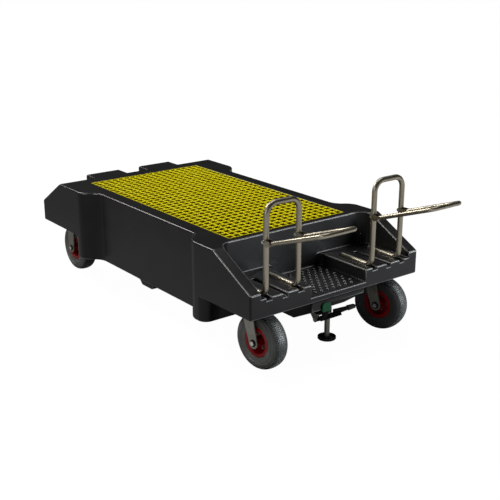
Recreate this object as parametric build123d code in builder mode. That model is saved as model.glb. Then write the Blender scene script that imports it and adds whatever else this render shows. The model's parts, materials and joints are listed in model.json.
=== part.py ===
from build123d import *
import os
from math import atan2, cos, degrees, radians, sin

# A waste oil trolley: a moulded tank under a mesh grating, on two fixed and two swivel castors,
# with a stepped front deck, two hoop handles with hinged pull bars, and a foot-worked floor lock.
# Millimetres, +X to the front deck, +Z up, drawn from the floor under the middle of the body.

# Body outside
body_length = 1900.0
body_width = 990.0
top_z = 525.0
skirt_z = 280.0
end_lip_z = 390.0
front_slope = 263.0
rear_slope = 215.0
edge_round = 9.0
corner_round = 10.0

# Waist: the long shallow recess down each side
waist_depth = 75.0
waist_rear_x = -529.0
waist_front_x = 553.0
waist_run = 135.0

# Tank below the skirt
tank_rear_x = -586.0
tank_front_x = 615.0
tank_floor_z = 160.0
tank_corner = 45.0
wall = 12.0
cavity_corner = 22.0
sump_drop = 29.0
sump_length = 90.0
sump_flare = 30.0

# Nose between the front castors
nose_half_width = 156.0
nose_flat_x = 823.0
nose_front_z = 259.0
nose_floor_z = 172.0
bib_front_z = 236.0
bib_inner_y = -75.0

# Front deck
deck_z = 366.0
deck_rear_x = 642.0
deck_half_width = 437.0
deck_corner = 70.0
well_half_width = 162.0
well_floor_z = 308.0
well_corner = 30.0
groove_start_x = 726.0
drain_groove_y = 307.0
drain_groove_width = 22.0
drain_groove_depth = 18.0

# Two shelves that carry the top back over the rear slope
shelf_end_x = -842.0
shelf_width = 210.0
shelf_y = 170.0

# Grating and the ledge that it lies on
grate_length = 1253.0
grate_width = 686.0
grate_middle_x = -26.0
grate_thick = 30.0
grate_holes_x = 25
grate_holes_y = 13
grate_bar = 12.0
grate_gap = 2.0
ledge = 30.0

# Wheels
wheel_radius = 130.0
tyre_half_width = 42.5
tyre_crown_half = 24.0
rim_flange_radius = 69.0
rim_seat_radius = 56.0
rim_half_width = 36.0
rim_wall = 4.0
hub_radius = 17.0
hub_half_length = 40.0
axle_radius = 6.0
running_gap = 0.06
seat_gap = 0.3

# Castors
castor_side_inset = 137.0
front_castor_inset = 144.0
rear_castor_inset = 148.0
castor_trail = 45.0
near_steer = 5.7
far_steer = 16.6
pocket_radius = 112.0
pocket_depth = 20.0
plate_length = 140.0
plate_width = 110.0
plate_thick = 6.0
plate_hole_x = 105.0
plate_hole_y = 80.0
castor_bolt_radius = 5.0
castor_bolt_reach = 16.0
fork_gap_half = 49.0
fork_thick = 6.0
fork_eye_radius = 26.0
crown_thick = 8.0
race_height = 10.0
race_radius = 32.0
kingpin_radius = 8.0
kingpin_nut_height = 11.0

# Hoop handles
hoop_tube_radius = 12.5
hoop_x = 925.0
hoop_inner_y = 220.0
hoop_outer_y = 394.0
hoop_top_z = 760.0
hoop_top_bend = 50.0
hoop_foot_bend = 40.0
hoop_foot_rear_x = 732.0
foot_proud = 12.5
groove_gap = 0.5
foot_screw_x = 815.0
foot_screw_spread = 90.0
foot_screw_radius = 3.0
foot_screw_head = 5.0
foot_screw_sink = 1.0
foot_screw_depth = 14.0
foot_cap_thick = 5.0

# Pull bars
bar_tube_radius = 10.0
bar_rise = 19.5
bar_reach = 362.0
bar_bend = 30.0
bar_drop = 14.0
bar_start = 24.0
bar_pivot_z = 602.0
ear_thick = 3.0
ear_radius = 9.0
ear_length = 38.0
ear_gap = 0.4
pivot_bolt_radius = 4.0
pivot_head_radius = 7.0
pivot_head_height = 5.0

# Floor lock
lock_x = 878.0
lock_rest_gap = 51.0
lock_stem_radius = 12.5
lock_stem_top_z = 246.0
lock_pad_radius = 42.0
lock_pad_height = 12.0
lock_pad_lip = 4.0
lock_pad_dish = 6.0
lock_stem_seat = 8.0
lock_plate_thick = 6.0
lock_plate_width = 90.0
lock_plate_rear_x = 735.0
lock_plate_front_x = 862.0
lock_bolt_x = 760.0
lock_bolt_spread_x = 26.0
lock_bolt_spread_y = 64.0
lock_bolt_radius = 4.0
lock_bolt_reach = 9.0
lock_guide_radius = 19.0
lock_guide_gap = 2.0
lock_guide_low_z = 164.0
lock_guide_high_z = 205.0
lock_pivot_back = 50.0
lock_pivot_z = 133.0
lock_pivot_radius = 5.0
lock_pin_radius = 4.0
lock_slot_half = 5.4
lock_arm_y = 20.0
lock_arm_thick = 5.0
lock_arm_half = 11.0
lock_ear_gap = 1.0
lock_ear_thick = 5.0
lock_pedal_reach = 127.0
lock_pedal_depth = 18.0
toe_gap = 3.0
toe_thick = 6.0
toe_low_z = 228.0
toe_height = 39.0
toe_y = -77.0
toe_width = 46.0
toe_arm_width = 24.0
treadle_x = 892.0
treadle_z = 177.0
treadle_thick = 12.0
treadle_root_half = 13.0
treadle_tip_half = 5.0
treadle_end_y = 154.0
sleeve_thick = 2.5
sleeve_length = 44.0

# Drain plug under the sump
drain_radius = 20.0
drain_head_radius = 30.0
drain_head_height = 10.0

# Worked out from the sizes above
half_length = body_length / 2
half_width = body_width / 2
waist_half = half_width - waist_depth
castor_y = half_width - castor_side_inset
front_castor_x = half_length - front_castor_inset
rear_castor_x = rear_castor_inset - half_length
sump_z = tank_floor_z - sump_drop
ledge_z = top_z - grate_thick
castor_plate_z = skirt_z + pocket_depth
crown_top_z = castor_plate_z - plate_thick - race_height - seat_gap
foot_z = deck_z + foot_proud - hoop_tube_radius
groove_floor_z = foot_z - hoop_tube_radius
groove_half = hoop_tube_radius + groove_gap
ear_inner = hoop_tube_radius + ear_gap
ear_outer = ear_inner + ear_thick
lock_pivot_x = lock_x - lock_pivot_back
lock_lever_tilt = degrees(atan2(lock_rest_gap / 2, lock_pivot_back))
lock_pin_z = lock_pivot_z + lock_rest_gap / 2
lock_arm_outer = lock_arm_y + lock_arm_thick
lock_ear_y = lock_arm_outer + lock_ear_gap
nose_roof_z = well_floor_z - wall
shelf_root_x = rear_slope - half_length + 20
bar_tilt = radians(bar_rise)
bar_front_x = hoop_x + bar_reach * cos(bar_tilt) + bar_drop * sin(bar_tilt) + bar_tube_radius
frame_shift = Location(((half_length - bar_front_x) / 2, 0, 0))

os.makedirs("parts", exist_ok=True)


def write(part, name):
    """Carries a piece to the common frame, whose origin is under the middle of the whole, and writes it."""
    piece = part.moved(frame_shift)
    piece.label = name
    export_step(piece, f"parts/{name}.step")


def centred(low, high):
    return (low + high) / 2


def waist_cut(side):
    """The waist's plan on one side, an S curve in, a straight run and an S curve out."""
    outer, inner = side * (half_width + 1), side * waist_half
    edge, middle = side * half_width, side * (half_width + waist_half) / 2
    with BuildLine() as outline:
        rear = TangentArc((waist_rear_x, edge), (waist_rear_x + waist_run / 2, middle), tangent=(1, 0))
        rear_in = TangentArc((waist_rear_x + waist_run, inner), rear @ 1, tangent=(-1, 0))
        front = TangentArc((waist_front_x, edge), (waist_front_x - waist_run / 2, middle), tangent=(-1, 0))
        front_in = TangentArc((waist_front_x - waist_run, inner), front @ 1, tangent=(1, 0))
        Line(rear_in @ 0, front_in @ 0)
        Polyline(rear @ 0, (waist_rear_x, outer), (waist_front_x, outer), front @ 0)
    make_face(outline.edges(), mode=Mode.SUBTRACT)


def plan(x_low, x_high, width, corner):
    """A rounded plan from x_low to x_high with the waist taken out of both sides."""
    with Locations((centred(x_low, x_high), 0)):
        RectangleRounded(x_high - x_low, width, corner)
    for side in (-1, 1):
        waist_cut(side)


def foot_screw_spots(*ys):
    """Where the screws go down through the hoops' feet."""
    return [(foot_screw_x + end * foot_screw_spread / 2, y) for y in ys for end in (-1, 1)]


def profile(*points):
    """A closed straight-sided outline."""
    with BuildLine() as outline:
        Polyline(*points, close=True)
    make_face(outline.edges())


# Tank body, one moulding
with BuildPart() as tank_body:
    # upper shell, with its sloping ends
    with BuildSketch(Plane.XY.offset(skirt_z)):
        plan(-half_length, half_length, body_width, corner_round)
    extrude(amount=top_z - skirt_z)
    with BuildSketch(Plane.XZ):
        profile((half_length - front_slope, top_z), (half_length + 1, end_lip_z), (half_length + 1, top_z))
        profile((rear_slope - half_length, top_z), (-half_length - 1, end_lip_z), (-half_length - 1, top_z))
    extrude(amount=half_width + 1, both=True, mode=Mode.SUBTRACT)
    # shelves at the rear, standing on the slope
    with BuildSketch(Plane.XY.offset(end_lip_z)):
        with Locations((centred(shelf_end_x, shelf_root_x), 0)):
            with GridLocations(0, 2 * shelf_y, 1, 2):
                Rectangle(shelf_root_x - shelf_end_x, shelf_width)
    extrude(amount=top_z - end_lip_z)
    fillet(tank_body.faces().sort_by(Axis.Z)[-1].edges(), edge_round)
    # lower tank, sump and nose
    with BuildSketch(Plane.XY.offset(tank_floor_z)):
        plan(tank_rear_x, tank_front_x, body_width, tank_corner)
    extrude(amount=skirt_z - tank_floor_z)
    with BuildSketch(Plane.XZ):
        profile((-sump_length / 2 - sump_flare, tank_floor_z + 1), (-sump_length / 2, sump_z),
                (sump_length / 2, sump_z), (sump_length / 2 + sump_flare, tank_floor_z + 1))
    extrude(amount=waist_half - edge_round, both=True)
    with BuildSketch(Plane.XZ):
        profile((tank_front_x - wall, nose_floor_z), (nose_flat_x, nose_floor_z),
                (half_length - 1, nose_front_z), (half_length - 1, skirt_z + 1),
                (tank_front_x - wall, skirt_z + 1))
    extrude(amount=nose_half_width, both=True)
    # deeper lip of the nose on the near side
    with BuildSketch(Plane.XZ.offset(-bib_inner_y)):
        profile((nose_flat_x, nose_floor_z), (half_length - 1, bib_front_z), (half_length - 1, nose_front_z))
    extrude(amount=nose_half_width + bib_inner_y)
    # front deck, its well and its grooves
    with BuildSketch(Plane.XY.offset(deck_z)) as deck:
        with Locations((centred(deck_rear_x, half_length + 1), 0)):
            Rectangle(half_length + 1 - deck_rear_x, 2 * deck_half_width)
        fillet(deck.vertices().group_by(Axis.X)[0], deck_corner)
    extrude(amount=top_z, mode=Mode.SUBTRACT)
    with BuildSketch(Plane.XY.offset(well_floor_z)) as well:
        with Locations((centred(deck_rear_x, half_length + 1), 0)):
            Rectangle(half_length + 1 - deck_rear_x, 2 * well_half_width)
        fillet(well.vertices().group_by(Axis.X)[0], well_corner)
    extrude(amount=top_z, mode=Mode.SUBTRACT)
    with BuildSketch(Plane.XY.offset(groove_floor_z)):
        with Locations((centred(groove_start_x, half_length + 1), 0)):
            for y in (hoop_inner_y, hoop_outer_y):
                with GridLocations(0, 2 * y, 1, 2):
                    Rectangle(half_length + 1 - groove_start_x, 2 * groove_half)
    extrude(amount=deck_z - groove_floor_z, mode=Mode.SUBTRACT)
    with BuildSketch(Plane.XY.offset(deck_z - drain_groove_depth)):
        with Locations((centred(groove_start_x, half_length + 1), 0)):
            with GridLocations(0, 2 * drain_groove_y, 1, 2):
                Rectangle(half_length + 1 - groove_start_x, drain_groove_width)
    extrude(amount=drain_groove_depth, mode=Mode.SUBTRACT)
    # tank cavity, its sump trough, the hollow rear end and the hollow nose
    with BuildSketch(Plane.XY.offset(tank_floor_z + wall)):
        with Locations((centred(tank_rear_x, tank_front_x), 0)):
            RectangleRounded(tank_front_x - tank_rear_x - 2 * wall, 2 * (waist_half - wall), cavity_corner)
    extrude(amount=ledge_z - wall - tank_floor_z - wall, mode=Mode.SUBTRACT)
    with BuildSketch(Plane.XZ):
        trough_half = sump_length / 2 - wall
        profile((-trough_half - sump_flare, tank_floor_z + wall + 1), (-trough_half, sump_z + wall),
                (trough_half, sump_z + wall), (trough_half + sump_flare, tank_floor_z + wall + 1))
    extrude(amount=waist_half - edge_round - wall, both=True, mode=Mode.SUBTRACT)
    with BuildSketch(Plane.XZ):
        profile((wall - half_length, castor_plate_z + 2 * wall),
                (tank_rear_x + wall + 1, castor_plate_z + 2 * wall),
                (tank_rear_x + wall + 1, ledge_z - wall), (rear_slope - half_length, ledge_z - wall),
                (wall - half_length, end_lip_z - wall))
    extrude(amount=waist_half - wall, both=True, mode=Mode.SUBTRACT)
    with BuildSketch(Plane.XZ):
        profile((tank_front_x - wall - 1, nose_floor_z + wall), (nose_flat_x - wall, nose_floor_z + wall),
                (nose_flat_x - wall, nose_roof_z), (tank_front_x - wall - 1, nose_roof_z))
    extrude(amount=nose_half_width - wall, both=True, mode=Mode.SUBTRACT)
    # mouth and grating seat
    with BuildSketch(Plane.XY.offset(ledge_z - wall - 1)):
        with Locations((grate_middle_x, 0)):
            RectangleRounded(grate_length - 2 * ledge, grate_width - 2 * ledge, cavity_corner)
    extrude(amount=grate_thick + wall + 2, mode=Mode.SUBTRACT)
    with BuildSketch(Plane.XY.offset(ledge_z)):
        with Locations((grate_middle_x, 0)):
            Rectangle(grate_length + 2 * grate_gap, grate_width + 2 * grate_gap)
    extrude(amount=grate_thick + 1, mode=Mode.SUBTRACT)
    # castor pockets and bolt holes
    with BuildSketch(Plane.XY.offset(skirt_z - 1)):
        with Locations((front_castor_x, 0), (rear_castor_x, 0)):
            with GridLocations(0, 2 * castor_y, 1, 2):
                Circle(pocket_radius)
    extrude(amount=pocket_depth + 1, mode=Mode.SUBTRACT)
    with BuildSketch(Plane.XY.offset(castor_plate_z - 1)):
        for x in (front_castor_x, rear_castor_x):
            with Locations((x, -castor_y), (x, castor_y)):
                with GridLocations(plate_hole_x, plate_hole_y, 2, 2):
                    Circle(castor_bolt_radius + running_gap)
    extrude(amount=castor_bolt_reach + 2, mode=Mode.SUBTRACT)
    # holes in the grooves for the hoops' screws
    with BuildSketch(Plane.XY.offset(groove_floor_z - foot_screw_depth - 1)):
        with Locations(*foot_screw_spots(-hoop_outer_y, -hoop_inner_y, hoop_inner_y, hoop_outer_y)):
            Circle(foot_screw_radius + running_gap)
    extrude(amount=foot_screw_depth + 2, mode=Mode.SUBTRACT)
    # clearance above the floor lock's stem
    with BuildSketch(Plane.XY.offset(nose_floor_z)):
        with Locations((lock_x, 0)):
            Circle(lock_guide_radius + lock_guide_gap)
    extrude(amount=lock_stem_top_z + 2 * lock_guide_gap - nose_floor_z, mode=Mode.SUBTRACT)
    # holes for the floor lock's bolts
    with BuildSketch(Plane.XY.offset(nose_floor_z - 1)):
        with Locations((lock_bolt_x, 0)):
            with GridLocations(lock_bolt_spread_x, lock_bolt_spread_y, 2, 2):
                Circle(lock_bolt_radius + running_gap)
    extrude(amount=lock_bolt_reach + 2, mode=Mode.SUBTRACT)
    # drain hole
    with BuildSketch(Plane.XY.offset(sump_z - 1)):
        Circle(drain_radius + running_gap)
    extrude(amount=wall + 2, mode=Mode.SUBTRACT)
write(tank_body.part, "tank_body")

# Mesh grating
with BuildPart() as grating:
    pitch_x = (grate_length - grate_bar) / grate_holes_x
    pitch_y = (grate_width - grate_bar) / grate_holes_y
    with BuildSketch(Plane.XY.offset(ledge_z)):
        with Locations((grate_middle_x, 0)):
            Rectangle(grate_length, grate_width)
            with GridLocations(pitch_x, pitch_y, grate_holes_x, grate_holes_y):
                Rectangle(pitch_x - grate_bar, pitch_y - grate_bar, mode=Mode.SUBTRACT)
    extrude(amount=grate_thick)
write(grating.part, "grating")

# Drain plug, with its shank up through the sump floor
with BuildPart() as drain_plug:
    with BuildSketch(Plane.XY.offset(sump_z)):
        Circle(drain_radius)
    extrude(amount=wall)
    with BuildSketch(Plane.XY.offset(sump_z - drain_head_height)):
        RegularPolygon(drain_head_radius, 6)
    extrude(amount=drain_head_height)
write(drain_plug.part, "drain_plug")


def wheel_profile(*points):
    """A wheel section, points of (along the axle, radius), turned about the axle."""
    with BuildSketch(Plane.YZ) as section:
        profile(*points)
    revolve(section.sketch, axis=Axis.Y)


def make_rim():
    inner = rim_half_width - rim_wall
    drop = rim_seat_radius - rim_wall
    bore = axle_radius + running_gap
    with BuildPart() as rim:
        wheel_profile((-hub_half_length, bore), (hub_half_length, bore), (hub_half_length, hub_radius),
                      (rim_wall, hub_radius + 6), (rim_wall, drop), (inner, drop),
                      (rim_half_width, rim_seat_radius), (rim_half_width, rim_flange_radius),
                      (inner, rim_flange_radius), (inner, rim_seat_radius),
                      (-inner, rim_seat_radius), (-inner, rim_flange_radius),
                      (-rim_half_width, rim_flange_radius), (-rim_half_width, rim_seat_radius),
                      (-inner, drop), (-rim_wall, drop),
                      (-rim_wall, hub_radius + 6), (-hub_half_length, hub_radius))
    return rim.part


def make_tyre():
    bead = rim_half_width - rim_wall
    seat = rim_seat_radius
    lip = rim_flange_radius
    waist = (lip + wheel_radius) / 2
    shoulder = wheel_radius - 3
    with BuildPart() as tyre:
        with BuildSketch(Plane.YZ):
            with BuildLine():
                Polyline((-bead, lip), (-bead, seat), (bead, seat), (bead, lip))
                ThreePointArc((bead, lip), (tyre_half_width, waist), (tyre_crown_half, shoulder))
                ThreePointArc((tyre_crown_half, shoulder), (0, wheel_radius), (-tyre_crown_half, shoulder))
                ThreePointArc((-tyre_crown_half, shoulder), (-tyre_half_width, waist), (-bead, lip))
            make_face()
        revolve(axis=Axis.Y)
    return tyre.part


def make_axle():
    """Axle bolt with its head and nut outside the fork arms."""
    outer = fork_gap_half + fork_thick
    with BuildPart() as axle:
        with BuildSketch(Plane.XZ.offset(-outer)):
            Circle(axle_radius)
        extrude(amount=2 * outer)
        with BuildSketch(Plane.XZ.offset(outer), Plane.XZ.offset(-outer - 8)):
            RegularPolygon(11, 6)
        extrude(amount=8)
    return axle.part


def make_spacers():
    """The two sleeves between the hub and the fork arms."""
    with BuildPart() as spacers:
        low = hub_half_length + seat_gap
        with BuildSketch(Plane.XZ.offset(low), Plane.XZ.offset(-fork_gap_half)):
            Circle(axle_radius + 5)
            Circle(axle_radius + running_gap, mode=Mode.SUBTRACT)
        extrude(amount=fork_gap_half - low)
    return spacers.part


def fork_arms(top_z, half_top, trail):
    """Two arms from the crown or plate down to the axle's eyes."""
    with BuildSketch(Plane.XZ.offset(fork_gap_half), Plane.XZ.offset(-fork_gap_half - fork_thick)) as arms:
        profile((-half_top, top_z), (half_top, top_z), (trail + fork_eye_radius, wheel_radius),
                (trail - fork_eye_radius, wheel_radius))
        with Locations((trail, wheel_radius)):
            Circle(fork_eye_radius)
            Circle(axle_radius + running_gap, mode=Mode.SUBTRACT)
    extrude(arms.sketch, amount=fork_thick)


def castor_plate():
    """The top plate, with its four bolt holes."""
    with BuildSketch(Plane.XY.offset(castor_plate_z - plate_thick)) as plate:
        RectangleRounded(plate_length, plate_width, 10)
        with GridLocations(plate_hole_x, plate_hole_y, 2, 2):
            Circle(castor_bolt_radius + 0.5, mode=Mode.SUBTRACT)
    extrude(plate.sketch, amount=plate_thick)


def make_swivel_plate():
    race_z = castor_plate_z - plate_thick - race_height
    with BuildPart() as plate:
        castor_plate()
        with BuildSketch(Plane.XY.offset(race_z)):
            Circle(race_radius)
        extrude(amount=race_height)
        with BuildSketch(Plane.XY.offset(race_z)):
            Circle(kingpin_radius + running_gap)
        extrude(amount=race_height + plate_thick, mode=Mode.SUBTRACT)
    return plate.part


def make_kingpin():
    nut_top = crown_top_z - crown_thick - seat_gap
    with BuildPart() as kingpin:
        with BuildSketch(Plane.XY.offset(nut_top - kingpin_nut_height)):
            Circle(kingpin_radius)
        extrude(amount=castor_plate_z - nut_top + kingpin_nut_height)
        with BuildSketch(Plane.XY.offset(nut_top - kingpin_nut_height)):
            RegularPolygon(2 * kingpin_radius - 2, 6)
        extrude(amount=kingpin_nut_height)
    return kingpin.part


def make_fork():
    with BuildPart() as fork:
        with BuildSketch(Plane.XY.offset(crown_top_z - crown_thick)):
            RectangleRounded(84, 2 * (fork_gap_half + fork_thick), 8)
            Circle(kingpin_radius + running_gap, mode=Mode.SUBTRACT)
        extrude(amount=crown_thick)
        fork_arms(crown_top_z, 34, castor_trail)
    return fork.part


def make_fixed_bracket():
    with BuildPart() as bracket:
        castor_plate()
        fork_arms(castor_plate_z - plate_thick, 40, 0)
    return bracket.part


def make_castor_bolts(x, y):
    """Four bolts up through a castor plate into the body."""
    low = castor_plate_z - plate_thick
    with BuildPart() as bolts:
        with BuildSketch(Plane.XY.offset(low)):
            with Locations((x, y)):
                with GridLocations(plate_hole_x, plate_hole_y, 2, 2):
                    Circle(castor_bolt_radius)
        extrude(amount=plate_thick + castor_bolt_reach)
        with BuildSketch(Plane.XY.offset(low - 7)):
            with Locations((x, y)):
                with GridLocations(plate_hole_x, plate_hole_y, 2, 2):
                    RegularPolygon(9, 6)
        extrude(amount=7)
    return bolts.part


# The castors: each wheel set is made about its own axle, then carried to its place
castors = {
    "front_right": (front_castor_x, -castor_y, near_steer, castor_trail),
    "front_left": (front_castor_x, castor_y, far_steer, castor_trail),
    "rear_right": (rear_castor_x, -castor_y, 0, 0),
    "rear_left": (rear_castor_x, castor_y, 0, 0),
}
for corner, (x, y, steer, trail) in castors.items():
    swivel = Location((x, y, 0), (0, 0, steer))
    wheel = swivel * Location((trail, 0, wheel_radius))
    for name, make in (("rim", make_rim), ("tyre", make_tyre), ("axle", make_axle),
                       ("spacers", make_spacers)):
        write(make().moved(wheel), f"{corner}_{name}")
    write(make_castor_bolts(x, y), f"{corner}_castor_bolts")
    if trail:
        write(make_swivel_plate().moved(Location((x, y, 0))), f"{corner}_swivel_plate")
        write(make_kingpin().moved(Location((x, y, 0))), f"{corner}_kingpin")
        write(make_fork().moved(swivel), f"{corner}_fork")
    else:
        write(make_fixed_bracket().moved(swivel), f"{corner}_bracket")


def make_hoop(y_a, y_b):
    """A bent tube: two feet along the deck, two legs and the top."""
    with BuildPart() as hoop:
        with BuildLine() as path:
            FilletPolyline((hoop_foot_rear_x, y_a, foot_z), (hoop_x, y_a, foot_z), (hoop_x, y_a, hoop_top_z),
                           (hoop_x, y_b, hoop_top_z), (hoop_x, y_b, foot_z), (hoop_foot_rear_x, y_b, foot_z),
                           radius=[hoop_foot_bend, hoop_top_bend, hoop_top_bend, hoop_foot_bend])
        with BuildSketch(Plane((hoop_foot_rear_x, y_a, foot_z), x_dir=(0, 1, 0), z_dir=(1, 0, 0))):
            Circle(hoop_tube_radius)
        sweep(path=path.line)
        with BuildSketch(Plane.XZ.offset(-max(y_a, y_b) - 2 * hoop_tube_radius)):
            with Locations((hoop_x, bar_pivot_z)):
                Circle(pivot_bolt_radius + running_gap)
        extrude(amount=abs(y_b - y_a) + 4 * hoop_tube_radius, mode=Mode.SUBTRACT)
        with BuildSketch(Plane.XY.offset(groove_floor_z - 1)):
            with Locations(*foot_screw_spots(y_a, y_b)):
                Circle(foot_screw_radius + running_gap)
        extrude(amount=2 * hoop_tube_radius + 2, mode=Mode.SUBTRACT)
        with BuildSketch(Plane.XY.offset(foot_z + hoop_tube_radius - foot_screw_sink)):
            with Locations(*foot_screw_spots(y_a, y_b)):
                Circle(foot_screw_head + seat_gap)
        extrude(amount=2 * foot_screw_sink, mode=Mode.SUBTRACT)
    return hoop.part


def bar_plane(y):
    """The pull bar's own plane at one leg: x along the bar, y up across it, from the pivot."""
    return Plane((hoop_x, y, bar_pivot_z), x_dir=(cos(bar_tilt), 0, sin(bar_tilt)), z_dir=(0, -1, 0))


def make_pull_bar(y_a, y_b):
    """A U of tube with a forked end round each leg of the hoop."""
    low, high = -bar_drop - bar_tube_radius, -bar_drop + bar_tube_radius
    stop = (ear_inner - bar_drop * sin(bar_tilt)) / cos(bar_tilt) + ear_gap
    with BuildPart() as bar:
        points = [bar_plane(y).from_local_coords((u, -bar_drop, 0))
                  for y, u in ((y_a, bar_start), (y_a, bar_reach), (y_b, bar_reach), (y_b, bar_start))]
        with BuildLine() as path:
            FilletPolyline(*points, radius=bar_bend)
        with BuildSketch(Plane(points[0], z_dir=bar_plane(y_a).x_dir)):
            Circle(bar_tube_radius)
        sweep(path=path.line)
        for y in (y_a, y_b):
            with BuildSketch(bar_plane(y).offset(ear_inner), bar_plane(y).offset(-ear_outer)):
                profile((0, ear_radius), (ear_length, high), (ear_length, low), (stop, low),
                        (-ear_radius, 0))
                Circle(ear_radius)
                Circle(pivot_bolt_radius + running_gap, mode=Mode.SUBTRACT)
            extrude(amount=ear_thick)
            with BuildSketch(bar_plane(y).offset(-ear_inner)):
                profile((stop, low), (ear_length, low), (ear_length, high), (bar_start, high),
                        (bar_start, -bar_drop), (stop, -bar_drop))
            extrude(amount=2 * ear_inner)
    return bar.part


def make_pivot_bolts(y_a, y_b):
    """A bolt with head and nut through each leg, at the pull bar's hinge."""
    reach = ear_outer + seat_gap
    with BuildPart() as bolts:
        for y in (y_a, y_b):
            with BuildSketch(Plane.XZ.offset(-y - reach)):
                with Locations((hoop_x, bar_pivot_z)):
                    Circle(pivot_bolt_radius)
            extrude(amount=2 * reach)
            with BuildSketch(Plane.XZ.offset(-y + reach), Plane.XZ.offset(-y - reach - pivot_head_height)):
                with Locations((hoop_x, bar_pivot_z)):
                    RegularPolygon(pivot_head_radius, 6)
            extrude(amount=pivot_head_height)
    return bolts.part


def make_foot_screws(y_a, y_b):
    """Button-head screws down through the feet into the deck."""
    head_z = foot_z + hoop_tube_radius - foot_screw_sink
    spots = foot_screw_spots(y_a, y_b)
    with BuildPart() as screws:
        with BuildSketch(Plane.XY.offset(groove_floor_z - foot_screw_depth)):
            with Locations(*spots):
                Circle(foot_screw_radius)
        extrude(amount=head_z - groove_floor_z + foot_screw_depth)
        with BuildSketch(Plane.XY.offset(head_z)):
            with Locations(*spots):
                Circle(foot_screw_head)
        extrude(amount=foot_screw_radius, taper=25)
    return screws.part


def make_foot_caps(y_a, y_b):
    """Plugs on the rear ends of a hoop's feet."""
    with BuildPart() as caps:
        with BuildSketch(Plane.YZ.offset(hoop_foot_rear_x - foot_cap_thick)):
            with Locations((y_a, foot_z), (y_b, foot_z)):
                Circle(hoop_tube_radius)
        extrude(amount=foot_cap_thick)
    return caps.part


for side, y_a, y_b in (("right", -hoop_outer_y, -hoop_inner_y), ("left", hoop_inner_y, hoop_outer_y)):
    write(make_hoop(y_a, y_b), f"{side}_hoop_handle")
    write(make_pull_bar(y_a, y_b), f"{side}_pull_bar")
    write(make_pivot_bolts(y_a, y_b), f"{side}_pivot_bolts")
    write(make_foot_screws(y_a, y_b), f"{side}_foot_screws")
    write(make_foot_caps(y_a, y_b), f"{side}_foot_caps")

# Floor lock: bracket with its guide tube and the ears that carry the lever
lock_plate_low_z = nose_floor_z - lock_plate_thick
with BuildPart() as lock_bracket:
    with BuildSketch(Plane.XY.offset(lock_plate_low_z)):
        with Locations((centred(lock_plate_rear_x, lock_plate_front_x), 0)):
            RectangleRounded(lock_plate_front_x - lock_plate_rear_x, lock_plate_width, 8)
        with Locations((centred(lock_plate_front_x - 10, lock_x), 0)):
            Rectangle(lock_x - lock_plate_front_x + 10, 2 * lock_guide_radius)
        with Locations((lock_bolt_x, 0)):
            with GridLocations(lock_bolt_spread_x, lock_bolt_spread_y, 2, 2):
                Circle(lock_bolt_radius + running_gap, mode=Mode.SUBTRACT)
    extrude(amount=lock_plate_thick)
    with BuildSketch(Plane.XY.offset(lock_guide_low_z)):
        with Locations((lock_x, 0)):
            Circle(lock_guide_radius)
    extrude(amount=lock_guide_high_z - lock_guide_low_z)
    with BuildSketch(Plane.XY.offset(lock_guide_low_z - 1)):
        with Locations((lock_x, 0)):
            Circle(lock_stem_radius + running_gap)
    extrude(amount=lock_guide_high_z - lock_guide_low_z + 2, mode=Mode.SUBTRACT)
    with BuildSketch(Plane.XZ.offset(lock_ear_y), Plane.XZ.offset(-lock_ear_y - lock_ear_thick)):
        profile((lock_pivot_x - 40, lock_plate_low_z), (lock_pivot_x + 26, lock_plate_low_z),
                (lock_pivot_x + 12, lock_pivot_z), (lock_pivot_x - 12, lock_pivot_z))
        with Locations((lock_pivot_x, lock_pivot_z)):
            Circle(12)
            Circle(lock_pivot_radius + running_gap, mode=Mode.SUBTRACT)
    extrude(amount=lock_ear_thick)
write(lock_bracket.part, "lock_bracket")

# Bolts that hold the lock's bracket up to the nose
with BuildPart() as lock_bolts:
    with BuildSketch(Plane.XY.offset(lock_plate_low_z)):
        with Locations((lock_bolt_x, 0)):
            with GridLocations(lock_bolt_spread_x, lock_bolt_spread_y, 2, 2):
                Circle(lock_bolt_radius)
    extrude(amount=lock_plate_thick + lock_bolt_reach)
    with BuildSketch(Plane.XY.offset(lock_plate_low_z - 5)):
        with Locations((lock_bolt_x, 0)):
            with GridLocations(lock_bolt_spread_x, lock_bolt_spread_y, 2, 2):
                RegularPolygon(7.5, 6)
    extrude(amount=5)
write(lock_bolts.part, "lock_bolts")

# Lock stem, with the cross pin that the lever drives
with BuildPart() as lock_stem:
    stem_foot_z = lock_rest_gap + lock_pad_height - lock_stem_seat
    with BuildSketch(Plane.XY.offset(stem_foot_z)):
        with Locations((lock_x, 0)):
            Circle(lock_stem_radius)
    extrude(amount=lock_stem_top_z - stem_foot_z)
    with BuildSketch(Plane.XZ.offset(-lock_arm_outer)):
        with Locations((lock_x, lock_pin_z)):
            Circle(lock_pin_radius)
    extrude(amount=2 * lock_arm_outer)
write(lock_stem.part, "lock_stem")

# Dished rubber pad on the stem's foot
with BuildPart() as lock_pad:
    dish_z = lock_pad_height - lock_pad_dish
    with BuildSketch(Plane.XZ):
        profile(*[(lock_x + r, lock_rest_gap + h) for r, h in (
            (0, 0), (lock_pad_radius - lock_pad_lip / 2, 0), (lock_pad_radius, lock_pad_lip / 2),
            (lock_pad_radius, lock_pad_height), (lock_pad_radius - lock_pad_lip, lock_pad_height),
            (lock_pad_radius - 2 * lock_pad_lip, dish_z), (lock_stem_radius, dish_z),
            (lock_stem_radius, lock_pad_height - lock_stem_seat), (0, lock_pad_height - lock_stem_seat))])
    revolve(axis=Axis((lock_x, 0, 0), (0, 0, 1)))
write(lock_pad.part, "lock_pad")

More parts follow.
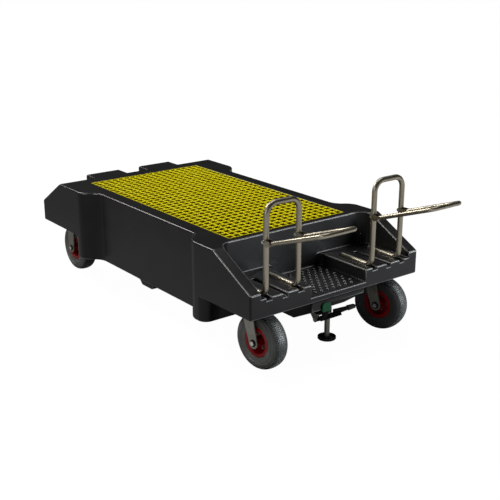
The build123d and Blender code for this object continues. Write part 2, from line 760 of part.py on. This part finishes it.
# Pedal lever: two slotted arms past the stem, a cross piece and an arm up to the toe plate
lever_plane = Plane((lock_pivot_x, 0, lock_pivot_z),
                    x_dir=(cos(radians(lock_lever_tilt)), 0, sin(radians(lock_lever_tilt))),
                    z_dir=(0, -1, 0))
pin_distance = lock_pivot_back / cos(radians(lock_lever_tilt))
toe_rear_x = half_length + toe_gap
toe_front_x = toe_rear_x + toe_thick
cross_end = lever_plane.from_local_coords((lock_pedal_reach, 0, 0))
cross_start = lever_plane.from_local_coords((lock_pedal_reach - lock_pedal_depth / 2, 0, 0))
with BuildPart() as lock_lever:
    with BuildSketch(lever_plane.offset(lock_arm_y), lever_plane.offset(-lock_arm_outer)):
        with Locations((lock_pedal_reach / 2, 0)):
            Rectangle(lock_pedal_reach, 2 * lock_arm_half)
        Circle(lock_arm_half)
        Circle(lock_pivot_radius + running_gap, mode=Mode.SUBTRACT)
        with Locations(((pin_distance + lock_pivot_back) / 2, 0)):
            SlotCenterToCenter(pin_distance - lock_pivot_back + 2, 2 * lock_slot_half, mode=Mode.SUBTRACT)
    extrude(amount=lock_arm_thick)
    with BuildSketch(lever_plane.offset(-lock_arm_outer)):
        with Locations((lock_pedal_reach - lock_pedal_depth / 2, 0)):
            RectangleRounded(lock_pedal_depth, 2 * lock_arm_half, 4)
    extrude(amount=lock_arm_outer - toe_y + toe_arm_width / 2)
    with BuildSketch(Plane.XZ.offset(-toe_y - toe_arm_width / 2)):
        profile((cross_start.X, cross_start.Z), (cross_end.X + toe_thick / 2, cross_end.Z - toe_thick),
                (toe_front_x, toe_low_z), (toe_rear_x, toe_low_z),
                (cross_start.X, cross_start.Z + toe_thick))
    extrude(amount=toe_arm_width)
write(lock_lever.part, "lock_lever")

# Toe plate for lifting the lock, up in front of the nose
with BuildPart() as lock_toe_plate:
    with BuildSketch(Plane.XZ.offset(-toe_y - toe_width / 2)):
        with Locations((centred(toe_rear_x, toe_front_x), toe_low_z + toe_height / 2)):
            Rectangle(toe_thick, toe_height)
    extrude(amount=toe_width)
    fillet(lock_toe_plate.edges().filter_by(Axis.X).group_by(Axis.Z)[-1], 2 * toe_thick)
write(lock_toe_plate.part, "lock_toe_plate")

# Lever's hinge pin, through both ears
with BuildPart() as lock_pivot_pin:
    reach = lock_ear_y + lock_ear_thick + 3
    with BuildSketch(Plane.XZ.offset(-reach)):
        with Locations((lock_pivot_x, lock_pivot_z)):
            Circle(lock_pivot_radius)
    extrude(amount=2 * reach)
    with BuildSketch(Plane.XZ.offset(lock_ear_y + lock_ear_thick), Plane.XZ.offset(-reach)):
        with Locations((lock_pivot_x, lock_pivot_z)):
            Circle(lock_pivot_radius + 4)
    extrude(amount=3)
write(lock_pivot_pin.part, "lock_pivot_pin")


def treadle_bar(y_low, y_high, extra):
    """A stretch of the tapered treadle bar, with something added all round it."""
    taper = (treadle_root_half - treadle_tip_half) / (treadle_end_y - lock_arm_outer)
    low_half, high_half = (treadle_root_half - taper * (y - lock_arm_outer) + extra for y in (y_low, y_high))
    with BuildSketch(Plane.YZ.offset(treadle_x - treadle_thick / 2 - extra)) as bar:
        profile((y_low, treadle_z - low_half), (y_high, treadle_z - high_half),
                (y_high, treadle_z + high_half), (y_low, treadle_z + low_half))
    return bar.sketch


# Treadle bar out to the far side of the lever, and the rubber sleeve on its end
with BuildPart() as lock_treadle:
    extrude(treadle_bar(lock_arm_outer, treadle_end_y - sleeve_thick, 0), amount=treadle_thick)
write(lock_treadle.part, "lock_treadle")
with BuildPart() as treadle_sleeve:
    sleeve_start = treadle_end_y - sleeve_length
    extrude(treadle_bar(sleeve_start, treadle_end_y, sleeve_thick), amount=treadle_thick + 2 * sleeve_thick)
    extrude(treadle_bar(sleeve_start, treadle_end_y - sleeve_thick, 0), amount=treadle_thick,
            mode=Mode.SUBTRACT)
write(treadle_sleeve.part, "treadle_sleeve")
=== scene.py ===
import bmesh
import bpy
import json
from math import cos, pi, radians, sin
from mathutils import Matrix, Vector


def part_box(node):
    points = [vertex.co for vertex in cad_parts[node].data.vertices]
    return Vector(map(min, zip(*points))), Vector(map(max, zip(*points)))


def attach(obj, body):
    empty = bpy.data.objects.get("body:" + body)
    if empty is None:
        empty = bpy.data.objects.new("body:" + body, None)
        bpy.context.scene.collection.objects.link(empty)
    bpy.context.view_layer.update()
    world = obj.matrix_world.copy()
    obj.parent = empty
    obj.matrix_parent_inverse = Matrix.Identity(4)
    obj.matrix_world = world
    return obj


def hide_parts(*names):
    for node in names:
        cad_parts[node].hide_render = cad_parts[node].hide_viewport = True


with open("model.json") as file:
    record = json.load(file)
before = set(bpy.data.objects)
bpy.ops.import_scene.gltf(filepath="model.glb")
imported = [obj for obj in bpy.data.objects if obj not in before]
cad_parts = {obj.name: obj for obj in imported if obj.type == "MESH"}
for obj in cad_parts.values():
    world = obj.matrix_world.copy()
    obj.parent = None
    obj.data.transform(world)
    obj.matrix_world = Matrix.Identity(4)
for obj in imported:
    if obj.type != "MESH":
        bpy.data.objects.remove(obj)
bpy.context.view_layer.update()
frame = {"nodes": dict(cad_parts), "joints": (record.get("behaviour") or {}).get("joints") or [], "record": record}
nodes = frame["nodes"]


# Helpers for materials

def new_material(name):
    """A material with its node tree, its shader and its Object coordinates."""
    material = bpy.data.materials.new(name)
    material.use_nodes = True
    tree = material.node_tree
    shader = tree.nodes["Principled BSDF"]
    place = tree.nodes.new("ShaderNodeTexCoord").outputs["Object"]
    return material, tree, shader, place


def feed(tree, value, socket):
    """Gives a socket a fixed value, or a link to the node that works it out."""
    if isinstance(value, bpy.types.NodeSocket):
        tree.links.new(value, socket)
    else:
        socket.default_value = value


def noise(tree, place, scale, detail=4.0):
    """Soft random patches, smaller as the scale rises."""
    node = tree.nodes.new("ShaderNodeTexNoise")
    node.inputs["Scale"].default_value = scale
    node.inputs["Detail"].default_value = detail
    node.inputs["Roughness"].default_value = 0.55
    tree.links.new(place, node.inputs["Vector"])
    return node.outputs["Fac"]


def stretched(tree, place, scale):
    """Coordinates stretched by a scale along each axis."""
    node = tree.nodes.new("ShaderNodeMapping")
    node.inputs["Scale"].default_value = scale
    tree.links.new(place, node.inputs["Vector"])
    return node.outputs["Vector"]


def axes_of(tree, place):
    """The X, Y and Z of some coordinates, each by itself."""
    node = tree.nodes.new("ShaderNodeSeparateXYZ")
    tree.links.new(place, node.inputs["Vector"])
    return node.outputs


def between(tree, value, low, high, from_low=0.0, from_high=1.0):
    """A value carried from one range to another."""
    node = tree.nodes.new("ShaderNodeMapRange")
    for name, number in (("From Min", from_low), ("From Max", from_high), ("To Min", low), ("To Max", high)):
        node.inputs[name].default_value = number
    tree.links.new(value, node.inputs["Value"])
    return node.outputs["Result"]


def combined(tree, operation, value, other=0.0):
    """A value worked out from one or two others."""
    node = tree.nodes.new("ShaderNodeMath")
    node.operation = operation
    feed(tree, value, node.inputs[0])
    feed(tree, other, node.inputs[1])
    return node.outputs["Value"]


def blended(tree, factor, first, second, kind="RGBA", way="MIX"):
    """Two colours, or two numbers, blended by a factor."""
    first_socket, second_socket, result_socket = (6, 7, 2) if kind == "RGBA" else (2, 3, 0)
    node = tree.nodes.new("ShaderNodeMix")
    node.data_type = kind
    node.blend_type = way
    feed(tree, factor, node.inputs[0])
    feed(tree, first, node.inputs[first_socket])
    feed(tree, second, node.inputs[second_socket])
    return node.outputs[result_socket]


def two_tone(tree, value, dark, light, low=0.3, high=0.7):
    """A colour that goes from dark to light as the value rises."""
    node = tree.nodes.new("ShaderNodeValToRGB")
    node.color_ramp.elements[0].position = low
    node.color_ramp.elements[0].color = (*dark, 1)
    node.color_ramp.elements[1].position = high
    node.color_ramp.elements[1].color = (*light, 1)
    tree.links.new(value, node.inputs["Fac"])
    return node.outputs["Color"]


def bump(tree, shader, height, strength, distance):
    """A fine grain on the surface."""
    node = tree.nodes.new("ShaderNodeBump")
    node.inputs["Strength"].default_value = strength
    node.inputs["Distance"].default_value = distance
    tree.links.new(height, node.inputs["Height"])
    tree.links.new(node.outputs["Normal"], shader.inputs["Normal"])


# Finishes

def moulded_polyethylene():
    """Near-black rotomoulded plastic: satin, faintly mottled, with a fine orange peel and a painted highlight,
    pale grey, along the crests of its rounded edges.
    """
    material, tree, shader, place = new_material("moulded_polyethylene")
    plain = two_tone(tree, noise(tree, place, 9.0, 5.0), (0.0046, 0.0046, 0.0047), (0.0066, 0.0065, 0.0067))
    # Painted highlight: pale grey painted along the crests of the rounded edges, broken up by noise
    edge = tree.nodes.new("ShaderNodeAttribute")
    edge.attribute_name = "crest_highlight"
    highlight_breakup = between(tree, noise(tree, place, 16.0, 3.0), 0.65, 1.0, from_low=0.35, from_high=0.6)
    painted_highlight_mask = combined(tree, "MULTIPLY", edge.outputs["Fac"], highlight_breakup)
    tree.links.new(blended(tree, painted_highlight_mask, plain, (0.105, 0.104, 0.102, 1)), shader.inputs["Base Color"])
    tree.links.new(between(tree, noise(tree, place, 14.0, 6.0), 0.24, 0.34), shader.inputs["Roughness"])
    shader.inputs["Specular IOR Level"].default_value = 0.22
    bump(tree, shader, noise(tree, place, 420.0, 2.0), 0.10, 0.0005)
    return material


def highlighted_plastic(low_z, high_z):
    """The body's plastic, with a painted highlight that turns it pale where it stands highest."""
    material, tree, shader, place = new_material("highlighted_plastic")
    # Painted highlight: the plastic is painted pale towards its highest part
    painted_highlight_mask = between(tree, axes_of(tree, place)["Z"], 0.0, 1.0, from_low=low_z, from_high=high_z)
    colour = two_tone(tree, painted_highlight_mask, (0.0055, 0.0055, 0.0056), (0.105, 0.105, 0.105), low=0.45, high=1.0)
    tree.links.new(colour, shader.inputs["Base Color"])
    tree.links.new(between(tree, noise(tree, place, 90.0, 5.0), 0.25, 0.45), shader.inputs["Roughness"])
    shader.inputs["Specular IOR Level"].default_value = 0.35
    bump(tree, shader, noise(tree, place, 420.0, 2.0), 0.10, 0.0005)
    return material


def yellow_mesh():
    """Glass-reinforced mesh: bright yellow on the gritted tops, with painted shade darkening it to olive and near
    black down the walls of the openings.
    """
    full_shade_depth, unshaded_depth = 0.007, 0.0012
    material, tree, shader, place = new_material("yellow_mesh")
    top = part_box("grating")[1][2]
    # Painted shade: the colour darkens with depth down the walls of the openings
    depth = between(tree, axes_of(tree, place)["Z"], 0.0, 1.0, from_low=top - full_shade_depth,
                    from_high=top - unshaded_depth)
    walls = two_tone(tree, depth, (0.010, 0.008, 0.0003), (0.47, 0.415, 0.001), low=0.0, high=1.0)
    grime = two_tone(tree, noise(tree, place, 26.0, 4.0), (0.82, 0.8, 0.74), (1.0, 1.0, 1.0))
    tree.links.new(blended(tree, 1.0, walls, grime, way="MULTIPLY"), shader.inputs["Base Color"])
    grit = noise(tree, place, 900.0, 2.0)
    tree.links.new(between(tree, grit, 0.42, 0.7), shader.inputs["Roughness"])
    shader.inputs["Specular IOR Level"].default_value = 0.06
    bump(tree, shader, grit, 0.3, 0.0005)
    return material


def polished_stainless():
    """Polished tube, warm grey, with the faint streaks that polishing leaves."""
    material, tree, shader, place = new_material("polished_stainless")
    shader.inputs["Metallic"].default_value = 1.0
    streaks = noise(tree, stretched(tree, place, (60, 60, 8)), 1.0, 3.0)
    tree.links.new(two_tone(tree, streaks, (0.38, 0.35, 0.275), (0.47, 0.43, 0.345)),
                   shader.inputs["Base Color"])
    tree.links.new(between(tree, streaks, 0.36, 0.44), shader.inputs["Roughness"])
    return material


def zinc_plate(name, dark, light, low, high):
    """Zinc-plated steel: grey, dulled unevenly by handling, between a low and a high roughness."""
    material, tree, shader, place = new_material(name)
    shader.inputs["Metallic"].default_value = 0.9
    dull = noise(tree, place, 45.0, 6.0)
    tree.links.new(two_tone(tree, dull, dark, light), shader.inputs["Base Color"])
    tree.links.new(between(tree, dull, low, high), shader.inputs["Roughness"])
    bump(tree, shader, noise(tree, place, 600.0, 2.0), 0.05, 0.0002)
    return material


def gloss_enamel(name, dark, light, shine=0.22, coat=0.08):
    """Gloss enamel with a slight orange peel and a little grime."""
    material, tree, shader, place = new_material(name)
    tree.links.new(two_tone(tree, noise(tree, place, 18.0, 6.0), dark, light), shader.inputs["Base Color"])
    tree.links.new(between(tree, noise(tree, place, 40.0, 4.0), 0.24, 0.4), shader.inputs["Roughness"])
    shader.inputs["Specular IOR Level"].default_value = shine
    shader.inputs["Coat Weight"].default_value = coat
    shader.inputs["Coat Roughness"].default_value = 0.15
    bump(tree, shader, noise(tree, place, 260.0, 2.0), 0.06, 0.0004)
    return material


def rubber(name, dark, light, low, high):
    """Rubber: dusty, with a fine grain, between a low and a high roughness."""
    material, tree, shader, place = new_material(name)
    tree.links.new(two_tone(tree, noise(tree, place, 16.0, 7.0), dark, light), shader.inputs["Base Color"])
    tree.links.new(between(tree, noise(tree, place, 30.0, 5.0), low, high), shader.inputs["Roughness"])
    shader.inputs["Specular IOR Level"].default_value = 0.45
    bump(tree, shader, noise(tree, place, 700.0, 3.0), 0.14, 0.0005)
    return material


body_black = moulded_polyethylene()
mesh_yellow = yellow_mesh()
stainless = polished_stainless()
zinc = zinc_plate("dull_zinc", (0.26, 0.256, 0.222), (0.35, 0.346, 0.305), low=0.34, high=0.5)
# A paler copy of the dull zinc: a painted highlight for the bolt ends and pins
highlight_zinc = zinc_plate("highlight_zinc", (0.62, 0.62, 0.61), (0.78, 0.78, 0.77), low=0.2, high=0.34)
rim_red = gloss_enamel("rim_red", (0.23, 0.002, 0.004), (0.36, 0.004, 0.006))
lever_green = gloss_enamel("lever_green", (0.009, 0.15, 0.055), (0.013, 0.21, 0.08))
black_enamel = gloss_enamel("black_enamel", (0.008, 0.008, 0.008), (0.014, 0.014, 0.013), shine=0.08,
                            coat=0.0)
tyre_grey = rubber("tyre_grey", (0.030, 0.033, 0.032), (0.052, 0.056, 0.054), low=0.36, high=0.52)
rubber_black = rubber("rubber_black", (0.008, 0.008, 0.008), (0.018, 0.018, 0.018), low=0.2, high=0.36)
finishes = {"moulded_body": body_black, "mesh": mesh_yellow, "black_plastic": body_black, "rim_red": rim_red,
            "tyre": tyre_grey, "zinc": zinc, "stainless": stainless, "black_steel": black_enamel,
            "lever_green": lever_green, "rubber": rubber_black}
# Axles, pivot bolts and pins take the paler zinc: a painted highlight on them
highlight_endings = ("_axle", "_pivot_bolts", "_pin")
for piece in frame["record"]["subparts"]:
    node = nodes[piece["node"]]
    node.data.materials.clear()
    finish = finishes[piece["material_slot"]]
    if piece["node"].endswith(highlight_endings):
        finish = highlight_zinc
    # The lock stem takes the darker dull zinc in place of its stainless: painted shade, as it stands in shade
    elif piece["node"] == "lock_stem":
        finish = zinc
    node.data.materials.append(finish)


# Helpers for pieces

def finish_piece(bm, name, material, body, smooth_angle):
    """Turns a bmesh into a piece that rides on a body."""
    mesh = bpy.data.meshes.new(name)
    bm.to_mesh(mesh)
    bm.free()
    mesh.shade_smooth()
    mesh.set_sharp_from_angle(angle=radians(smooth_angle))
    mesh.materials.append(material)
    piece = bpy.data.objects.new(name, mesh)
    bpy.context.scene.collection.objects.link(piece)
    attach(piece, body)
    return piece


def middle(node):
    """The middle of a node's box."""
    low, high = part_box(node)
    return (Vector(low) + Vector(high)) / 2


# Moulded body: the tank with its moulded edges rounded

def mark_highlight_crests(bm, rounded):
    """Marks the crest of each outward rounded edge, so a painted highlight can be laid along it."""
    least_bend = radians(5)
    bm.normal_update()
    crest_highlight = bm.verts.layers.float.new("crest_highlight")
    for vert in bm.verts:
        bends = [edge for edge in vert.link_edges if edge.calc_face_angle(0.0) > least_bend]
        outward = bends and all(edge.is_convex for edge in bends)
        if outward and all(face in rounded for face in vert.link_faces):
            vert[crest_highlight] = 1.0


def make_moulded_body():
    """The tank body with every moulded edge rounded, apart from the rims of its bolt holes."""
    edge_round, edge_segments, hole_margin, plain_stretch = 0.0058, 4, 0.006, 0.012
    merge_gap, flat_angle, sharp_angle = 0.00003, radians(1), radians(30)
    fixings = [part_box(name) for name in nodes if name.endswith(("_bolts", "_screws"))]

    def at_fixing(edge):
        return any(all(low[axis] - hole_margin < vert.co[axis] < high[axis] + hole_margin
                       for vert in edge.verts for axis in range(3)) for low, high in fixings)

    def moulded_edges():
        return [edge for edge in bm.edges if len(edge.link_faces) == 2
                and edge.calc_face_angle(0.0) > sharp_angle and not at_fixing(edge)]

    bm = bmesh.new()
    bm.from_mesh(nodes["tank_body"].data)
    bmesh.ops.remove_doubles(bm, verts=bm.verts, dist=merge_gap)
    bmesh.ops.dissolve_limit(bm, angle_limit=flat_angle, verts=bm.verts, edges=bm.edges)
    bm.normal_update()
    # A hollow edge that runs on into a rounded one stays plain for a short stretch between them
    plain, sharp = set(), set(moulded_edges())
    for vert in list(bm.verts):
        meeting = [edge for edge in vert.link_edges if edge in sharp]
        if len(meeting) == 2 and meeting[0].is_convex != meeting[1].is_convex:
            hollow = meeting[0] if meeting[1].is_convex else meeting[1]
            if hollow.calc_length() > 2 * plain_stretch:
                split = bmesh.utils.edge_split(hollow, vert, plain_stretch / hollow.calc_length())[1]
                plain.update(edge for edge in vert.link_edges if split in edge.verts)
    to_round = [edge for edge in moulded_edges() if edge not in plain]
    rounded = set(bmesh.ops.bevel(bm, geom=to_round, offset=edge_round, offset_type="OFFSET",
                                  segments=edge_segments, profile=0.5, affect="EDGES",
                                  clamp_overlap=False, material=-1)["faces"])
    # A corner of the rounding that runs past the solid's own box is drawn back to it
    low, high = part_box("tank_body")
    for vert in bm.verts:
        vert.co = [min(max(place, least), most) for place, least, most in zip(vert.co, low, high)]
    # The crests of the rounded edges get a painted highlight in the plastic's material
    mark_highlight_crests(bm, rounded)
    body = finish_piece(bm, "moulded_body", body_black, "chassis", smooth_angle=40)
    even = body.modifiers.new("even_faces", "WEIGHTED_NORMAL")
    even.keep_sharp = True
    even.weight = 90
    return body


moulded_body = make_moulded_body()
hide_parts("tank_body")


# Mesh grating: square openings between bars with rounded tops

def make_mesh_grating():
    """A grid of cells, each cut out inside its bars, made as deep as the solid grating."""
    cells_long, cells_wide, bar, edge_round = 33, 18, 0.0105, 0.0016
    same_level, upright = 1e-5, 0.5
    low, high = Vector(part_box("grating")[0]), Vector(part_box("grating")[1])
    size = high - low
    bm = bmesh.new()
    bmesh.ops.create_grid(bm, x_segments=cells_long, y_segments=cells_wide, size=0.5)
    bmesh.ops.scale(bm, vec=(size.x, size.y, 1), verts=bm.verts)
    bmesh.ops.translate(bm, vec=((low.x + high.x) / 2, (low.y + high.y) / 2, high.z), verts=bm.verts)
    cells = list(bm.faces)
    bmesh.ops.inset_individual(bm, faces=cells, thickness=bar / 2)
    bmesh.ops.delete(bm, geom=cells, context="FACES_ONLY")
    down = bmesh.ops.extrude_face_region(bm, geom=list(bm.faces), use_keep_orig=True)["geom"]
    lowered = [part for part in down if isinstance(part, bmesh.types.BMVert)]
    bmesh.ops.translate(bm, vec=(0, 0, -size.z), verts=lowered)
    bmesh.ops.recalc_face_normals(bm, faces=bm.faces)
    rim = [edge for edge in bm.edges if all(abs(vert.co.z - high.z) < same_level for vert in edge.verts)
           and any(abs(face.normal.z) < upright for face in edge.link_faces)]
    bmesh.ops.bevel(bm, geom=rim, offset=edge_round, offset_type="OFFSET", segments=2, profile=0.5,
                    affect="EDGES", clamp_overlap=True, material=-1)
    return finish_piece(bm, "mesh_grating", mesh_yellow, "chassis", smooth_angle=50)


mesh_grating = make_mesh_grating()
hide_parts("grating")


# Wheels: treaded tyres, the rims' clamp bolts and dark rings of painted shade round the axle bolts

def turned(profile, steps):
    """A profile of (along the axle, radius) points turned once about the Y axis."""
    merge_gap = 0.00005
    bm = bmesh.new()
    points = [bm.verts.new((0, along, radius)) for along, radius in profile]
    edges = [bm.edges.new(pair) for pair in zip(points, points[1:] + points[:1])]
    bmesh.ops.spin(bm, geom=points + edges, cent=(0, 0, 0), axis=(0, 1, 0), angle=2 * pi, steps=steps,
                   use_merge=True)
    bmesh.ops.remove_doubles(bm, verts=bm.verts, dist=merge_gap)
    bmesh.ops.recalc_face_normals(bm, faces=bm.faces)
    return bm


def add_disc(bm, segments, radius, far_radius, thick, spot):
    """A short cylinder or taper with its axis along Y, put at a spot."""
    disc = bmesh.ops.create_cone(bm, cap_ends=True, segments=segments, radius1=radius, radius2=far_radius,
                                 depth=thick)["verts"]
    bmesh.ops.rotate(bm, verts=disc, cent=(0, 0, 0), matrix=Matrix.Rotation(pi / 2, 3, "X"))
    bmesh.ops.translate(bm, verts=disc, vec=spot)


def at_wheel(bm, corner):
    """Carries what was made about the Y axis to one wheel's axle."""
    axle = next(joint for joint in frame["joints"] if joint["name"] == f"{corner}_wheel_roll")
    turn = Vector((0, 1, 0)).rotation_difference(Vector(axle["axis"])).to_matrix().to_4x4()
    bmesh.ops.transform(bm, matrix=Matrix.Translation(middle(f"{corner}_rim")) @ turn, verts=bm.verts)


def make_tyre(corner):
    """An air tyre: beads in the rim, rounded walls with a raised ring, and a block tread."""
    tread_depth, tread_gap, tread_start, blocks_round = 0.0022, 0.0013, 0.119, 90
    half = [(0.0, 0.1278), (0.0085, 0.1275), (0.0165, 0.1265), (0.0235, 0.1248), (0.0300, 0.1216),
            (0.0352, 0.1172), (0.0392, 0.1115), (0.0412, 0.1050), (0.0412, 0.0985), (0.0405, 0.0962),
            (0.0416, 0.0950), (0.0416, 0.0930), (0.0403, 0.0918), (0.0392, 0.0850), (0.0372, 0.0785),
            (0.0362, 0.0735), (0.0368, 0.0718), (0.0362, 0.0704), (0.0318, 0.0695), (0.0318, 0.0562)]
    bm = turned(half[::-1] + [(-along, radius) for along, radius in half[1:]], blocks_round)
    tread = [face for face in bm.faces if face.calc_center_median().xz.length > tread_start]
    bmesh.ops.inset_individual(bm, faces=tread, thickness=tread_gap, depth=tread_depth)
    at_wheel(bm, corner)
    tyre = finish_piece(bm, f"{corner}_air_tyre", tyre_grey, f"{corner}_wheel", smooth_angle=30)
    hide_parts(f"{corner}_tyre")
    return tyre


def make_rim_bolts(corner):
    """Five clamp bolts on each face of the rim's disc."""
    bolts, ring, disc_face = 5, 0.036, 0.004
    head_sides, head_radius, head_far_radius, head_height = 6, 0.0055, 0.0052, 0.004
    bm = bmesh.new()
    for side in (-1, 1):
        for bolt in range(bolts):
            angle = 2 * pi * bolt / bolts
            add_disc(bm, head_sides, head_radius, head_far_radius, head_height,
                     (ring * cos(angle), side * (disc_face + head_height / 2), ring * sin(angle)))
    at_wheel(bm, corner)
    finish_piece(bm, f"{corner}_rim_bolts", zinc, f"{corner}_wheel", smooth_angle=30)


def make_axle_shade_rings(corner):
    """A dark ring under the head and the nut of one axle bolt: painted shade round the bolt."""
    sides, radius, thick, head = 24, 0.0165, 0.0018, 0.008
    # The axles are alike, and this one lies along Y, so its box gives the length of each
    low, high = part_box("rear_right_axle")
    arm_face = (high[1] - low[1]) / 2 - head
    bm = bmesh.new()
    for side in (-1, 1):
        add_disc(bm, sides, radius, radius, thick, (0, side * (arm_face + thick / 2), 0))
    at_wheel(bm, corner)
    holder = f"{corner}_swivel" if corner.startswith("front") else "chassis"
    finish_piece(bm, f"{corner}_axle_shade_rings", black_enamel, holder, smooth_angle=30)


corners = ("front_right", "front_left", "rear_right", "rear_left")
air_tyres = [make_tyre(corner) for corner in corners]
for corner in corners:
    make_rim_bolts(corner)
    make_axle_shade_rings(corner)


# Raised studs on the floor of the front step

def make_step_studs():
    """Rows of low domed studs, set over by half a pitch from row to row."""
    pitch, row_pitch, radius, rise, margin, floor_drop = 0.036, 0.026, 0.0085, 0.0058, 0.03, 0.004
    opening = next(box for box in frame["record"]["physics"]["openings"] if box["name"] == "deck_well")
    low, high = (Vector(corner) for corner in opening["box_m"])
    floor_z = low.z - floor_drop
    bm = bmesh.new()
    for row in range(int((high.x - low.x - margin) / row_pitch)):
        x = low.x + margin / 2 + (row + 0.5) * row_pitch
        count = int((high.y - low.y - margin / 2) / pitch) - row % 2
        for stud in range(count):
            y = (stud - (count - 1) / 2) * pitch
            dome = bmesh.ops.create_uvsphere(bm, u_segments=12, v_segments=8, radius=radius)["verts"]
            bmesh.ops.scale(bm, vec=(1, 1, rise / radius), verts=dome)
            bmesh.ops.translate(bm, verts=dome, vec=(x, y, floor_z))
    # The stud tops are painted pale: a painted highlight
    highlighted_tops = highlighted_plastic(floor_z, floor_z + rise)
    return finish_piece(bm, "step_studs", highlighted_tops, "chassis", smooth_angle=60)


step_studs = make_step_studs()


# Floor, light and camera

def floor_paint():
    """Pale paint that glows like a light table, dimmer under the trolley and away from the lit side."""
    seen_glow, lit_way = 0.98, (0.79, 0.61, 0.0)
    paint, tree, shader, place = new_material("pale_floor")
    tree.links.new(two_tone(tree, noise(tree, place, 2.0), (0.06, 0.06, 0.06), (0.07, 0.07, 0.07)),
                   shader.inputs["Base Color"])
    shader.inputs["Roughness"].default_value = 0.95
    shader.inputs["Specular IOR Level"].default_value = 0.0
    shader.inputs["Emission Color"].default_value = (1, 1, 1, 1)
    ahead = tree.nodes.new("ShaderNodeVectorMath")
    ahead.operation = "DOT_PRODUCT"
    ahead.inputs[1].default_value = lit_way
    tree.links.new(place, ahead.inputs[0])
    brighter = between(tree, ahead.outputs["Value"], 0.15, 0.6, from_low=-2.3, from_high=1.35)
    axes = axes_of(tree, place)
    along = combined(tree, "ABSOLUTE", axes["X"])
    across = combined(tree, "MULTIPLY", combined(tree, "ABSOLUTE", axes["Y"]), 2.0)
    away = combined(tree, "MAXIMUM", along, across)
    shade = between(tree, away, 0.08, 1.0, from_low=0.75, from_high=1.35)
    seen = tree.nodes.new("ShaderNodeLightPath").outputs["Is Camera Ray"]
    glow = blended(tree, seen, combined(tree, "MULTIPLY", shade, brighter), seen_glow, "FLOAT")
    tree.links.new(glow, shader.inputs["Emission Strength"])
    return paint


def make_floor():
    """A wide flat floor."""
    bm = bmesh.new()
    bmesh.ops.create_grid(bm, x_segments=2, y_segments=2, size=40)
    mesh = bpy.data.meshes.new("studio_floor")
    bm.to_mesh(mesh)
    bm.free()
    mesh.materials.append(floor_paint())
    floor = bpy.data.objects.new("studio_floor", mesh)
    bpy.context.scene.collection.objects.link(floor)


def make_room():
    """A white backdrop that sheds little light of its own."""
    own_light, seen_white = 0.03, 1.0
    world = bpy.data.worlds.new("dim_studio")
    bpy.context.scene.world = world
    world.use_nodes = True
    room = world.node_tree
    seen = room.nodes.new("ShaderNodeLightPath").outputs["Is Camera Ray"]
    room.links.new(between(room, seen, own_light, seen_white), room.nodes["Background"].inputs["Strength"])
    room.nodes["Background"].inputs["Color"].default_value = (1, 1, 1, 1)


def lit_group(name, pieces):
    """A collection of the pieces that a lamp lights."""
    group = bpy.data.collections.new(name)
    for piece in pieces:
        group.objects.link(piece)
    return group


def make_lamps():
    """Soft panels round the trolley and a broad, weak sun."""
    plastic = lit_group("plastic_and_tyres", (moulded_body, step_studs, *air_tyres))
    mesh_only = lit_group("mesh_only", (mesh_grating,))
    aim = Vector((0.1, 0, 0.4))
    for name, spot, wide, high, power, tint, lit_only in (
            ("edge_panel", (-3.3, -1.0, 3.1), 1.7, 1.5, 130, (1.0, 0.97, 0.93), None),
            ("far_panel", (2.7, 2.9, 3.1), 1.9, 1.9, 160, (1.0, 1.0, 1.0), plastic),
            ("near_panel", (-0.6, -3.3, 2.9), 1.4, 1.4, 170, (1.0, 0.97, 0.92), plastic),
            ("front_panel", (4.4, 3.0, 0.9), 2.2, 1.2, 290, (0.88, 0.94, 1.0), plastic),
            ("side_panel", (1.2, -4.6, 2.2), 1.8, 1.8, 35, (1.0, 0.95, 0.88), None),
            ("top_panel", (1.2, 0.6, 4.2), 2.4, 2.4, 165, (1.0, 1.0, 1.0), mesh_only)):
        data = bpy.data.lights.new(name, "AREA")
        data.shape = "RECTANGLE"
        data.size = wide
        data.size_y = high
        data.energy = power
        data.color = tint
        lamp = bpy.data.objects.new(name, data)
        bpy.context.scene.collection.objects.link(lamp)
        lamp.location = spot
        lamp.rotation_euler = (aim - Vector(spot)).to_track_quat("-Z", "Y").to_euler()
        lamp.light_linking.receiver_collection = lit_only
    data = bpy.data.lights.new("soft_sun", "SUN")
    data.energy = 0.9
    data.angle = radians(40)
    sun = bpy.data.objects.new("soft_sun", data)
    bpy.context.scene.collection.objects.link(sun)
    sun.rotation_euler = Vector((0.3, -0.2, -0.93)).to_track_quat("-Z", "Y").to_euler()


def make_camera():
    """The photograph's own viewpoint, found by fitting the body's, handles' and wheels' edges."""
    turn, pitch = radians(52.28), radians(18.35)
    data = bpy.data.cameras.new("photo_camera")
    data.sensor_width = 36.0
    data.lens = 65.99
    camera = bpy.data.objects.new("photo_camera", data)
    bpy.context.scene.collection.objects.link(camera)
    camera.location = (3.5284, -2.6186, 1.7436)
    look = Vector((-sin(turn) * cos(pitch), cos(turn) * cos(pitch), -sin(pitch)))
    camera.rotation_euler = look.to_track_quat("-Z", "Y").to_euler()
    bpy.context.scene.camera = camera


make_floor()
make_room()
make_lamps()
make_camera()
bpy.context.scene.view_settings.view_transform = "Standard"
